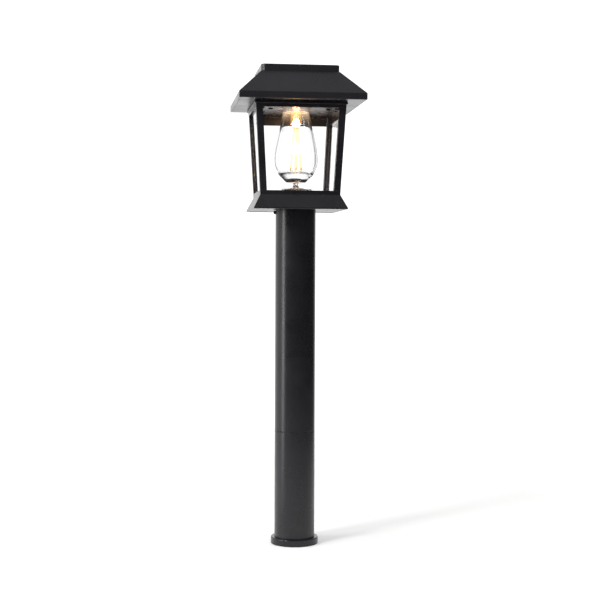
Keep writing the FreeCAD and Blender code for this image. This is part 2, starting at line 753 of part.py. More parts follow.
def lantern_base():
    lip_top = f"({SKIRT_BOTTOM} + skirt_lip)"
    rim = "pane_recess"
    outside = fuse(square(SKIRT_HALF, SKIRT_BOTTOM, lip_top),
                   frustum(SKIRT_HALF, "frame_base_half", lip_top, SKIRT_TOP),
                   frustum("frame_base_half", frame_half(SILL_TOP), SKIRT_TOP, SILL_TOP))
    soft = rounded(outside, "edge_rounding",
                   outermost(level_edges(SKIRT_BOTTOM, lip_top), SKIRT_HALF))
    hollow = frustum(hollow_half(SKIRT_BOTTOM), hollow_half(DECK_BOTTOM), SKIRT_BOTTOM, DECK_BOTTOM)
    tray = frustum(frame_half(FLOOR_TOP, rim), frame_half(f"({SILL_TOP} + 1)", rim),
                   FLOOR_TOP, f"{SILL_TOP} + 1")
    shell = cut(soft, hollow, tray)
    insets = ("0", "corner_width")
    pads = [corner_bar(*corner, insets, insets, FLOOR_TOP, SILL_TOP) for corner in CORNERS.values()]
    bosses = [cylinder("boss_radius", COVER_TOP, f"{DECK_BOTTOM} + 1", x, y) for x, y in BOSS_PLACES]
    spigot = cylinder(SPIGOT_RADIUS, f"{SKIRT_BOTTOM} - head_spigot_drop", f"{DECK_BOTTOM} + 1")
    solid = fuse(shell, *pads, *bosses, spigot)
    bore = cylinder(SPIGOT_BORE, f"{SKIRT_BOTTOM} - head_spigot_drop - 1", DECK_BOTTOM)
    way_out = turned_block(f"{SPIGOT_BORE} - 4", f"{SPIGOT_RADIUS} + 4", "7", f"{COVER_TOP} + 1.5",
                           DECK_BOTTOM, 135)
    relief = block("-(frame_base_half - 1.6)", "-(frame_base_half - 10)",
                   "frame_base_half - 10", "frame_base_half - 1.6", COVER_TOP, f"{SKIRT_TOP} - 0.5")
    tools = [bore, way_out, relief, channel(REAR_LEFT, DECK_BOTTOM, f"{SILL_TOP} + 1"),
             tapped_end(LOCK_LEVEL, 180)]
    for corner in CORNERS.values():
        tools += grooves(corner, FLOOR_TOP, f"({SILL_TOP} + 1)")
        if corner != REAR_LEFT:
            tools.append(channel(corner, f"({SILL_TOP} - rod_bite - 3)", f"({SILL_TOP} + 1)"))
    tools += [cylinder("1.5", f"{COVER_TOP} - 1", f"{COVER_TOP} + 8", x, y) for x, y in BOSS_PLACES]
    return cut(solid, *tools)


def countersink(x, y):
    return fuse(cone("3.1", "1.7", COVER_BOTTOM, f"{COVER_BOTTOM} + 1.5", x, y),
                cylinder("1.7", f"{COVER_BOTTOM} + 0.5", f"{COVER_TOP} + 1", x, y))


def base_cover():
    low = f"({hollow_half(COVER_BOTTOM)} - cover_gap)"
    high = f"({hollow_half(COVER_TOP)} - cover_gap)"
    plate = frustum(low, high, COVER_BOTTOM, COVER_TOP)
    return cut(plate, cylinder(f"{SPIGOT_RADIUS} + cover_gap", f"{COVER_BOTTOM} - 1", f"{COVER_TOP} + 1"),
               *[countersink(x, y) for x, y in BOSS_PLACES])


def cover_screw(x, y):
    head = cone("3.0", "1.45", COVER_BOTTOM, f"{COVER_BOTTOM} + 1.5", x, y)
    shank = cylinder("1.45", f"{COVER_BOTTOM} + 1", f"{COVER_TOP} + 7.5", x, y)
    return cut(fuse(head, shank), hexagon("1.1", f"{COVER_BOTTOM} - 1", f"{COVER_BOTTOM} + 1", x, y))


node("lantern_base", lantern_base())
node("base_cover", base_cover())
node("cover_screws", group(*[cover_screw(x, y) for x, y in BOSS_PLACES]))

# ---------------------------------------------------------------- corner posts, panes and head ring

CONNECTOR_LOW = f"({CONNECTOR_REACH} - connector_width / 2)"
CONNECTOR_HIGH = f"({CONNECTOR_REACH} + connector_width / 2)"
RING_LOCK_LEVEL = f"({FRIEZE_BOTTOM} + frieze_height / 2)"


def corner_post(corner):
    insets = ("0", "corner_width")
    bar = corner_bar(*corner, insets, insets, SILL_TOP, WINDOW_TOP)
    below, above = f"({SILL_TOP} - 1)", f"({WINDOW_TOP} + 1)"
    grooved = cut(bar, *grooves(corner, below, above), channel(corner, below, above))
    return rounded(grooved, "small_rounding", outer_corner_edge(corner))


def outer_corner_edge(corner):
    """Picks the one long edge at the outside corner of a corner post."""
    reach = number(frame_half(SILL_TOP))

    def test(edge):
        box = edge.BoundBox
        near_x = box.XMin if corner[0] > 0 else -box.XMax
        near_y = box.YMin if corner[1] > 0 else -box.YMax
        return box.ZLength > 50 and abs(near_x - reach) < 0.05 and abs(near_y - reach) < 0.05
    return test


def pane(side):
    insets = ("pane_recess", "pane_recess + pane_thickness")
    return side_slab(side, insets, f"({GROOVE_END} + 0.2)", PANE_BOTTOM, PANE_TOP)


def head_ring():
    rail = frustum(frame_half(WINDOW_TOP), frame_half(FRIEZE_BOTTOM), WINDOW_TOP, FRIEZE_BOTTOM)
    frieze = rounded(square(FRIEZE_HALF, FRIEZE_BOTTOM, FRIEZE_TOP), "small_rounding",
                     outermost(level_edges(FRIEZE_BOTTOM), FRIEZE_HALF))
    below, above = f"({WINDOW_TOP} - 1)", f"({FRIEZE_TOP} + 1)"
    tools = [square(RING_OPENING, below, above)]
    for side in SIDES:
        tools.append(side_slab(side, (GROOVE_NEAR, GROOVE_FAR), GROOVE_END, below, f"({PANE_TOP} + 0.2)"))
    for corner in CORNERS.values():
        tools.append(channel(corner, below, above))
        if corner != REAR_LEFT:
            tools.append(nut_pocket(corner))
    tools.append(connector_block(f"-{CONNECTOR_HIGH} - connector_gap", f"-{CONNECTOR_LOW} + connector_gap",
                                 SOCKET_BOTTOM, above))
    for x in ("lock_screw_place", "-lock_screw_place"):
        hole = sized("Part::Cylinder", (x, f"{RING_OPENING} - 1", RING_LOCK_LEVEL),
                     Radius="lock_screw_radius + thread_gap", Height=f"{FRIEZE_HALF} - {RING_OPENING} + 2")
        hole.Placement.Rotation = Rotation(Vector(1, 0, 0), -90)
        tools.append(hole)
    tools += [cylinder("1.3", below, f"{WINDOW_TOP} + 5", x, y) for x, y in bar_screw_places()]
    return cut(fuse(rail, frieze), *tools)


def connector_block(x0, x1, z0, z1):
    """A square block over the rear left corner, mirrored across the diagonal."""
    return block(x0, x1, f"-({x1})", f"-({x0})", z0, z1)


def corner_point(corner, level):
    """The middle of a corner channel at a level."""
    reach = number(frame_half(level, "channel_inset"))
    return Vector(corner[0] * reach, corner[1] * reach, number(level))


def nut_pocket(corner):
    reach = frame_half(FRIEZE_TOP, "channel_inset")
    return cylinder("nut_radius + 0.3", f"{FRIEZE_TOP} - nut_height - 0.9", f"{FRIEZE_TOP} + 1",
                    f"{corner[0]} * {reach}", f"{corner[1]} * {reach}")


ROD_CORNERS = [corner for corner in CORNERS.values() if corner != REAR_LEFT]


def tie_rods():
    rods = []
    for corner in ROD_CORNERS:
        bottom = corner_point(corner, f"({SILL_TOP} - rod_bite)")
        top = corner_point(corner, f"({FRIEZE_TOP} - 0.8)")
        rods.append(rod_between(bottom, top, number("rod_radius")))
    return shaped("tie_rod_set", Part.makeCompound(rods))


def rod_nuts():
    nuts = []
    for corner in ROD_CORNERS:
        reach = frame_half(FRIEZE_TOP, "channel_inset")
        x, y = f"{corner[0]} * {reach}", f"{corner[1]} * {reach}"
        low, high = f"{FRIEZE_TOP} - nut_height - 0.9", f"{FRIEZE_TOP} - 0.9"
        nuts.append(cut(hexagon("nut_radius", low, high, x, y),
                        cylinder("rod_radius + 0.25", f"{low} - 1", f"{high} + 1", x, y)))
    return group(*nuts)


BAR_SIDES = ("rear", "left", "right")
BAR_LEG_END = "(corner_width + 3.3)"
BAR_SCREW_INSET = "(corner_width + 1.3)"


def clamp_bar(side):
    """A bar that holds the top of a pane, with a leg under the head ring."""
    near = "(pane_recess + pane_thickness + 0.1)"
    low = f"({WINDOW_TOP} - bar_depth)"
    leg_low = f"({WINDOW_TOP} - bar_leg_thickness)"
    upright = side_slab(side, (near, f"{near} + bar_thickness"), "(corner_width + 0.3)", low, WINDOW_TOP)
    leg = side_slab(side, (near, BAR_LEG_END), "(corner_width + 4)", leg_low, WINDOW_TOP)
    holes = [cylinder("1.4", f"{leg_low} - 1", f"{WINDOW_TOP} + 1", x, y)
             for x, y in bar_screw_places((side,))]
    return cut(fuse(upright, leg), *holes)


def bar_screw_places(sides=BAR_SIDES):
    places = []
    for side in sides:
        dx, dy = SIDES[side]
        reach = frame_half(WINDOW_TOP, BAR_SCREW_INSET)
        for along in ("bar_screw_place", "(-bar_screw_place)"):
            places.append((f"{dx} * {reach}", along) if dx else (along, f"{dy} * {reach}"))
    return places


def roof_lock_screws():
    screws = []
    for x in ("lock_screw_place", "-lock_screw_place"):
        screw = sized("Part::Cylinder", (x, f"{RING_OPENING} + 0.1", RING_LOCK_LEVEL),
                      Radius="lock_screw_radius", Height=f"{FRIEZE_HALF} - {RING_OPENING} - 1.1")
        screw.Placement.Rotation = Rotation(Vector(1, 0, 0), -90)
        screws.append(screw)
    return group(*screws)


for name, corner in CORNERS.items():
    node(f"corner_post_{name}", corner_post(corner))
for side in SIDES:
    node(f"pane_{side}", pane(side))
node("sill_seals", group(*[side_slab(side, ("pane_recess + 0.05", "pane_recess + pane_thickness"),
                                     "(corner_width + 0.3)", FLOOR_TOP, PANE_BOTTOM) for side in SIDES]))
node("head_ring", head_ring())
node("tie_rods", tie_rods())
node("tie_rod_nuts", rod_nuts())
for side in BAR_SIDES:
    node(f"clamp_bar_{side}", clamp_bar(side))
node("clamp_bar_screws", group(*[pan_screw("1.9", "1.2", "1.2", "bar_leg_thickness + 4", x, y,
                                           f"{WINDOW_TOP} - bar_leg_thickness", -1)
                                 for x, y in bar_screw_places()]))
node("roof_lock_screws", roof_lock_screws())
node("roof_gasket", cut(square(GASKET_HALF, FRIEZE_TOP, EAVE_BOTTOM),
                        square(f"{GASKET_HALF} - gasket_width", f"{FRIEZE_TOP} - 1", f"{EAVE_BOTTOM} + 1")))

# ---------------------------------------------------------------- roof

PILLAR_PLACES = [(f"{x}{PILLAR_REACH}", f"{y}{PILLAR_REACH}") for x in "+-" for y in "+-"]
CROWN_PLACES = [(CROWN_BOSS_REACH, "0"), (f"-{CROWN_BOSS_REACH}", "0"),
                ("0", CROWN_BOSS_REACH), ("0", f"-{CROWN_BOSS_REACH}")]


def roof_shell():
    outside = fuse(square(ROOF_HALF, EAVE_BOTTOM, EAVE_TOP),
                   frustum(ROOF_HALF, CROWN_HALF, EAVE_TOP, ROOF_TOP))
    soft = rounded(outside, "edge_rounding", outermost(level_edges(EAVE_BOTTOM, EAVE_TOP), ROOF_HALF))
    turn_level = f"({EAVE_TOP} - roof_wall * 0.4)"
    hollow = fuse(square(f"{ROOF_HALF} - roof_wall", f"{EAVE_BOTTOM} - 1", turn_level),
                  frustum(f"{ROOF_HALF} - roof_wall", f"{CROWN_HALF} - roof_wall * 0.4",
                          turn_level, ROOF_DECK_BOTTOM))
    tools = [hollow, square(ROOF_OPENING, f"{ROOF_DECK_BOTTOM} - 1", f"{ROOF_TOP} + 1")]
    for radius, places in (("pillar_screw_hole", PILLAR_PLACES), ("crown_screw_hole", CROWN_PLACES)):
        tools += [cylinder(radius, f"{ROOF_DECK_BOTTOM} - 1", f"{ROOF_TOP} + 1", x, y) for x, y in places]
    return cut(soft, *tools)


def roof_liner():
    solid = fuse(square(f"{ROOF_HALF} - roof_wall - 0.2", EAVE_BOTTOM, SOFFIT_TOP),
                 square(PAN_HALF, WINDOW_TOP, SOFFIT_TOP))
    tools = [square(f"{PAN_HALF} - liner_thickness", PAN_TOP, f"{SOFFIT_TOP} + 1"),
             cylinder(LAMP_HOLE, f"{WINDOW_TOP} - 1", f"{PAN_TOP} + 1"),
             connector_block(f"-{CONNECTOR_HIGH} - connector_gap", f"-{CONNECTOR_LOW} + connector_gap",
                             f"{EAVE_BOTTOM} - 1", f"{SOFFIT_TOP} + 1")]
    screws = [("pillar_screw_hole", x, y) for x, y in PILLAR_PLACES]
    screws += [("holder_screw_hole", x, "0") for x in HOLDER_SCREW_PLACES]
    tools += [cylinder(radius, f"{WINDOW_TOP} - 1", f"{PAN_TOP} + 1", x, y) for radius, x, y in screws]
    return cut(solid, *tools)


def roof_pillar(x, y):
    post = hexagon("pillar_radius", PAN_TOP, ROOF_DECK_BOTTOM, x, y)
    return cut(post, cylinder("pillar_tap_radius", f"{PAN_TOP} - 1", f"{ROOF_DECK_BOTTOM} + 1", x, y))


SEAL_HALF = f"({CROWN_HALF} - crown_wall - 1.5)"


def crown_cap():
    solid = square(CROWN_HALF, ROOF_TOP, CROWN_TOP)
    upright = rounded(solid, "crown_corner", lambda edge: edge.BoundBox.ZLength > 1)
    soft = rounded(upright, "edge_rounding", level_edges(CROWN_TOP))
    cavity = square(f"{CROWN_HALF} - crown_wall", f"{ROOF_TOP} - 1", f"{CROWN_TOP} - crown_wall")
    inner = rounded(cavity, "crown_corner - crown_wall", lambda edge: edge.BoundBox.ZLength > 1)
    rib_edge = f"({SEAL_HALF} - crown_rib_gap)"
    roots = f"({CROWN_TOP} - crown_wall + 0.5)"
    rib = cut(square(rib_edge, f"{ROOF_TOP} + crown_seal_depth", roots),
              square(f"{rib_edge} - crown_rib_width", f"{ROOF_TOP} + 0.5", CROWN_TOP))
    bosses = [cylinder("crown_boss_radius", ROOF_TOP, roots, x, y) for x, y in CROWN_PLACES]
    taps = [cylinder("crown_tap_radius", f"{ROOF_TOP} - 1", f"{ROOF_TOP} + crown_tap_depth", x, y)
            for x, y in CROWN_PLACES]
    return cut(fuse(cut(soft, inner), rib, *bosses), *taps)


HOLDER_SCREW_PLACES = (HOLDER_SCREW_REACH, f"-{HOLDER_SCREW_REACH}")
CONTACT_PLACES = ("-contact_place", "contact_place")
HOLDER_TOP = f"({PAN_TOP} + holder_height)"
CAP_BOTTOM = f"({WINDOW_TOP} - 0.5)"
CAP_TOP = f"({CAP_BOTTOM} + lamp_cap_height)"
PIN_LEVEL = f"({CAP_BOTTOM} + bayonet_height)"


def lampholder():
    solid = fuse(cylinder(HOLDER_NOSE, WINDOW_TOP, f"{PAN_TOP} + 1"),
                 cylinder(HOLDER_FLANGE, PAN_TOP, f"{PAN_TOP} + holder_flange_height"),
                 cylinder(HOLDER_RADIUS, PAN_TOP, HOLDER_TOP))
    half_groove = "(bayonet_pin_radius + bayonet_gap)"
    tools = [cylinder(HOLDER_BORE, f"{WINDOW_TOP} - 1", f"{CAP_TOP} + 3"),
             cylinder(HOLDER_GROOVE, f"{PIN_LEVEL} - {half_groove}", f"{PIN_LEVEL} + {half_groove}")]
    for angle in (-25, 155):
        for reach, low in ((f"({HOLDER_NOSE} + 0.5)", f"{WINDOW_TOP} - 1"), (HOLDER_GROOVE, PAN_TOP)):
            tools.append(turned_block(f"{HOLDER_BORE} - 2", reach, f"(2 * {half_groove})", low,
                                      PIN_LEVEL, angle))
    tools += [cylinder("holder_screw_hole", f"{PAN_TOP} - 1", f"{PAN_TOP} + 5", x, "0")
              for x in HOLDER_SCREW_PLACES]
    tools += [cylinder("contact_bore_radius", f"{CAP_TOP} + 2", f"{HOLDER_TOP} - 3", x, "0")
              for x in CONTACT_PLACES]
    return cut(solid, *tools)


PLUG_TOP = f"({SOFFIT_TOP} + plug_height)"
PIN_PLACES = [(f"-{CONNECTOR_REACH} {side} pin_place", f"{CONNECTOR_REACH} {side} pin_place")
              for side in "+-"]


def connector_plug():
    body = connector_block(f"-{CONNECTOR_HIGH}", f"-{CONNECTOR_LOW}",
                           f"{FRIEZE_TOP} + 2 * fit_gap", PLUG_TOP)
    flange = connector_block(f"-{CONNECTOR_HIGH} - plug_rim", f"-{CONNECTOR_LOW} + plug_rim",
                             SOFFIT_TOP, f"{SOFFIT_TOP} + plug_rim")
    pins = [cylinder("pin_radius", f"{FRIEZE_TOP} - pin_depth", f"{FRIEZE_TOP} + 1", x, y)
            for x, y in PIN_PLACES]
    return fuse(body, flange, *pins)


def connector_socket():
    body = connector_block(f"-{CONNECTOR_HIGH}", f"-{CONNECTOR_LOW}", SOCKET_BOTTOM, FRIEZE_TOP)
    return cut(body, *[cylinder("pin_bore_radius", f"{FRIEZE_TOP} - pin_bore_depth", f"{FRIEZE_TOP} + 1",
                                x, y) for x, y in PIN_PLACES])


def diagonal(reach, level):
    """A point over the diagonal that runs to the rear left corner."""
    share = math.sqrt(0.5) * reach
    return Vector(-share, share, level)


def lamp_lead():
    """From the driver up the post, across under the floor and up the rear left corner post."""
    level = number(LEAD_LEVEL)
    reach = math.sqrt(2) * number(frame_half(LEAD_LEVEL, "channel_inset"))
    top = corner_point(REAR_LEFT, f"({SOCKET_BOTTOM} - connector_gap)")
    points = [Vector(0, 0, number(DRIVER_TOP)), Vector(0, 0, level), diagonal(reach, level), top]
    return pipe_along(points, [number("lead_post_bend"), number("lead_corner_bend")], number("lead_radius"))


def roof_lead():
    """From the plug along the rear of the roof space to the back of the lampholder."""
    plug = number(CONNECTOR_REACH)
    level = number(f"{HOLDER_TOP} - 3")
    points = [Vector(-plug, plug, number(PLUG_TOP)), Vector(-plug, plug, level),
              Vector(0, plug, level), Vector(0, number(HOLDER_RADIUS), level)]
    return pipe_along(points, [number("lead_corner_bend"), number("lead_roof_bend")], number("lead_radius"))


node("connector_socket", connector_socket())
node("connector_plug", connector_plug())
node("lamp_lead", shaped("lamp_lead_run", lamp_lead()))
node("roof_lead", shaped("roof_lead_run", roof_lead()))
node("roof_shell", roof_shell())
node("roof_liner", roof_liner())
node("roof_pillars", group(*[roof_pillar(x, y) for x, y in PILLAR_PLACES]))
PILLAR_SCREW = ("pillar_screw_radius", "pillar_screw_length")
node("liner_screws", group(*[pan_screw("pillar_screw_head", "1.4", *PILLAR_SCREW, x, y, WINDOW_TOP, -1)
                             for x, y in PILLAR_PLACES]))
node("deck_screws", group(*[pan_screw("pillar_screw_head", "1.8", *PILLAR_SCREW, x, y, ROOF_TOP, 1)
                            for x, y in PILLAR_PLACES]))
node("crown_cap", crown_cap())
node("crown_seal", cut(square(SEAL_HALF, ROOF_TOP, f"{ROOF_TOP} + crown_seal_depth"),
                       square(f"{SEAL_HALF} - crown_seal_width", f"{ROOF_TOP} - 1", f"{ROOF_TOP} + 3")))
node("crown_screws", group(*[pan_screw("crown_screw_head", "1.6", "crown_screw_radius",
                                       "crown_screw_length", x, y, ROOF_DECK_BOTTOM, -1)
                             for x, y in CROWN_PLACES]))
node("lampholder", lampholder())
node("holder_screws", group(*[pan_screw("2.4", "1.5", "holder_screw_radius",
                                        "holder_flange_height + holder_screw_bite", x, "0",
                                        f"{PAN_TOP} + holder_flange_height", 1)
                              for x in HOLDER_SCREW_PLACES]))
node("holder_contacts", group(*[cylinder("contact_radius", f"{CAP_TOP} + thread_gap", f"{HOLDER_TOP} - 3.2",
                                         x, "0") for x in CONTACT_PLACES]))

# ---------------------------------------------------------------- lamp

STEM_TOP = CAP_BOTTOM
STEM_BOTTOM = f"({STEM_TOP} - stem_length)"
FILAMENT_TOP = f"({STEM_BOTTOM} - 5)"
FILAMENT_BOTTOM = f"({GLASS_DOME_TOP} + filament_clearance)"


def lamp_cap():
    body = cylinder("lamp_cap_radius", CAP_BOTTOM, CAP_TOP)
    pins = [radial("bayonet_pin_radius", "lamp_cap_radius - 2", "lamp_cap_radius + bayonet_pin_reach",
                   PIN_LEVEL, angle) for angle in (0, 180)]
    return fuse(body, *pins)


def lamp_stem():
    """A clear tube with a closed foot and a thin glass rod below it."""
    inner = "(stem_radius - stem_wall)"
    foot = f"({STEM_BOTTOM} + stem_wall)"
    return turned("lamp_stem_body", [
        ("0", f"{STEM_BOTTOM} - 28"), ("1.3", f"{STEM_BOTTOM} - 28"), ("1.3", f"{STEM_BOTTOM} - 2"),
        ("2.6", STEM_BOTTOM), ("stem_radius", STEM_BOTTOM), ("stem_radius", STEM_TOP), (inner, STEM_TOP),
        (inner, foot), ("0", foot)])


def filament_ends(index):
    turn = 2 * math.pi * (index + 0.5) / number("filament_count")
    top, bottom = number("filament_top_circle"), number("filament_bottom_circle")
    return (Vector(top * math.cos(turn), top * math.sin(turn), number(FILAMENT_TOP)),
            Vector(bottom * math.cos(turn), bottom * math.sin(turn), number(FILAMENT_BOTTOM)))


FILAMENTS = range(int(number("filament_count")))


def led_filaments():
    radius = number("filament_radius")
    return Part.makeCompound([rod_between(*filament_ends(i), radius) for i in FILAMENTS])


def filament_wires():
    """Short legs from the stem down to the filaments, and a star that joins their lower ends."""
    wire = number("support_radius")
    legs = []
    for i in FILAMENTS:
        top, _ = filament_ends(i)
        root = Vector(top.x, top.y, number(STEM_BOTTOM))
        legs.append(rod_between(root, top + Vector(0, 0, wire / 2), wire))
    hub_level = number(f"{FILAMENT_BOTTOM} - 1.5")
    star = Part.makeSphere(wire * 3, Vector(0, 0, hub_level))
    for i in FILAMENTS:
        _, bottom = filament_ends(i)
        knee = Vector(bottom.x, bottom.y, hub_level)
        star = star.fuse([rod_between(Vector(0, 0, hub_level), knee, wire), Part.makeSphere(wire, knee),
                          rod_between(knee, bottom - Vector(0, 0, wire / 2), wire)])
    return Part.makeCompound(legs + [star])


node("lamp_cap", lamp_cap())
node("lamp_stem", lamp_stem())
node("led_filaments", shaped("led_filament_set", led_filaments()))
node("filament_wires", shaped("filament_wire_set", filament_wires()))

# ---------------------------------------------------------------- lamp glass

GLASS_RIM = f"({WINDOW_TOP} - glass_rim_gap)"


def curve(points, start_slope, end_slope):
    spline = Part.BSplineCurve()
    spline.interpolate(Points=[Vector(r, 0, z) for r, z in points],
                       InitialTangent=Vector(*start_slope), FinalTangent=Vector(*end_slope))
    return spline.toShape()


def line(start, end):
    return Part.LineSegment(Vector(start[0], 0, start[1]), Vector(end[0], 0, end[1])).toShape()


def lamp_glass():
    """A goblet turned about Z: foot, stem, thick floor and a bowl that closes in to its rim."""
    base, rim = number(PAD_TOP), number(GLASS_RIM)
    wall = number("glass_wall")
    rim_radius, belly_radius = number("glass_rim_radius"), number("glass_belly_radius")
    belly = base + number("glass_belly_height")
    shoulder_radius, shoulder = number("glass_shoulder_radius"), number(GLASS_SHOULDER)
    floor_radius, floor = number("glass_floor_radius"), base + number("glass_floor_height")
    stem, foot_radius = number("glass_stem_radius"), number("glass_foot_radius")
    foot_edge, foot_top = base + number("glass_foot_edge"), base + number("glass_foot_height")
    drop, narrowing = rim - belly, belly_radius - rim_radius
    neck, neck_radius = rim - 0.26 * drop, rim_radius + 0.35 * narrowing
    flank, flank_radius = rim - 0.78 * drop, rim_radius + 0.915 * narrowing
    bowl, bowl_radius = (shoulder + belly) / 2, shoulder_radius + 0.78 * (belly_radius - shoulder_radius)
    inner_floor, dome_top = number(GLASS_INNER_FLOOR), number(GLASS_DOME_TOP)
    outer = [
        line((0, base), (foot_radius, base)),
        line((foot_radius, base), (foot_radius, foot_edge)),
        curve([(foot_radius, foot_edge), (foot_radius * 0.62, foot_edge + (foot_top - foot_edge) * 0.5),
               (stem * 1.5, foot_top - 1.2), (stem, foot_top + 2.0)], (-0.9, 0, 0.8), (0, 0, 1)),
        curve([(stem, foot_top + 2.0), (stem * 1.6, floor - 0.9), (floor_radius, floor)],
              (0, 0, 1), (1, 0, 0.1)),
        curve([(floor_radius, floor), ((floor_radius + shoulder_radius) / 2, (floor + shoulder) / 2),
               (shoulder_radius, shoulder), (bowl_radius, bowl), (belly_radius, belly),
               (flank_radius, flank), (neck_radius, neck), (rim_radius, rim)],
              (1, 0, 0.7), (-0.26, 0, 1)),
    ]
    lip_top = Vector(rim_radius - wall / 2, 0, rim + number("glass_rim_gap") * 0.6)
    lip = Part.Arc(Vector(rim_radius, 0, rim), lip_top, Vector(rim_radius - wall, 0, rim)).toShape()
    bend = (shoulder_radius - wall * 1.1, shoulder + wall * 0.6)
    inner = [
        curve([(rim_radius - wall, rim), (neck_radius - wall, neck), (flank_radius - wall, flank),
               (belly_radius - wall, belly), (bowl_radius - wall, bowl), bend],
              (0.26, 0, -1), (-0.8, 0, -1)),
        curve([bend, (shoulder_radius * 0.62, (inner_floor + dome_top) / 2), (0, dome_top)],
              (-0.9, 0, -0.2), (-1, 0, 0)),
        line((0, dome_top), (0, base)),
    ]
    profile = Part.Wire(Part.__sortEdges__(outer + [lip] + inner))
    return Part.Face(profile).revolve(Vector(0, 0, 0), Vector(0, 0, 1), 360)


def glass_clips():
    """Three spring clips that hold the foot down on the floor."""
    clips = []
    for angle in (90, 210, 330):
        edge = "(glass_foot_radius + clip_gap)"
        wall = f"({edge} + clip_wall_place)"
        rise = f"({PAD_TOP} + glass_foot_edge + clip_lift)"
        clips.append(fuse(
            turned_block(wall, f"{wall} + clip_length", "clip_width", FLOOR_TOP,
                         f"{FLOOR_TOP} + clip_thickness", angle),
            turned_block(wall, f"{wall} + clip_thickness", "clip_width", FLOOR_TOP,
                         f"{rise} + clip_thickness", angle),
            turned_block(f"{edge} - clip_bite", f"{wall} + clip_thickness", "clip_width", rise,
                         f"{rise} + clip_thickness", angle)))
    return group(*clips)


node("lamp_glass", shaped("lamp_glass_body", lamp_glass()))
node("glass_pad", cut(cylinder("glass_foot_radius + 0.6", FLOOR_TOP, PAD_TOP),
                      cylinder("glass_foot_radius - 7", f"{FLOOR_TOP} - 1", f"{PAD_TOP} + 1")))
node("glass_clips", glass_clips())

# ---------------------------------------------------------------- checks and files

doc.recompute()
for item in doc.Objects:
    if "Invalid" in item.State or "Error" in item.State:
        raise RuntimeError(f"{item.Name} ({item.Label}) failed: {item.State}")
for piece in nodes:
    if piece.Shape.isNull() or not piece.Shape.isValid() or not piece.Shape.Solids:
        raise RuntimeError(f"{piece.Label} has no valid solid")

os.makedirs("parts", exist_ok=True)
for piece in nodes:
    piece.Shape.exportStep(f"parts/{piece.Label}.step")
print(len(nodes), "sub-parts written")
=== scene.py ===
import json
import math

import bmesh
import bpy
from mathutils import Euler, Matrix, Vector


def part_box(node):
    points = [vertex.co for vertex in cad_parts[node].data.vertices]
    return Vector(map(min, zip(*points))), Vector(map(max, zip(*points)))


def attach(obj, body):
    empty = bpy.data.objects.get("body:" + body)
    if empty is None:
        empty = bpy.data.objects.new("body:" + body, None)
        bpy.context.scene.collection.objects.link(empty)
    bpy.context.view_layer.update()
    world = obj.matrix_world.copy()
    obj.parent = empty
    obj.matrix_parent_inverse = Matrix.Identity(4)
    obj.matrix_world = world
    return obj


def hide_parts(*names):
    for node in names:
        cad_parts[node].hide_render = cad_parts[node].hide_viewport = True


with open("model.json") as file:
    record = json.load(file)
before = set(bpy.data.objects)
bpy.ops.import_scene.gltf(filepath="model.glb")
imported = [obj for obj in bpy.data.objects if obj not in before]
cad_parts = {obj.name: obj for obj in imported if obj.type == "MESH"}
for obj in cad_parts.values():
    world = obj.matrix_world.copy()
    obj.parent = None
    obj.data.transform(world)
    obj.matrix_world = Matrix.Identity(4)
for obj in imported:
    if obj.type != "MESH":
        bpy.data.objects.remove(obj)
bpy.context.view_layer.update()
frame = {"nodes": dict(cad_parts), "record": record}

MM = 0.001
nodes = frame["nodes"]

FLOOR_RADIUS = 1.5

# ---------------------------------------------------------------- materials

BLACK = (0.0080, 0.0077, 0.0102, 1)
WARM = (1.0, 0.56, 0.27)
GLASS_IOR = 1.46


def shade(colour, factor):
    return tuple(c * factor for c in colour[:3]) + (1,)


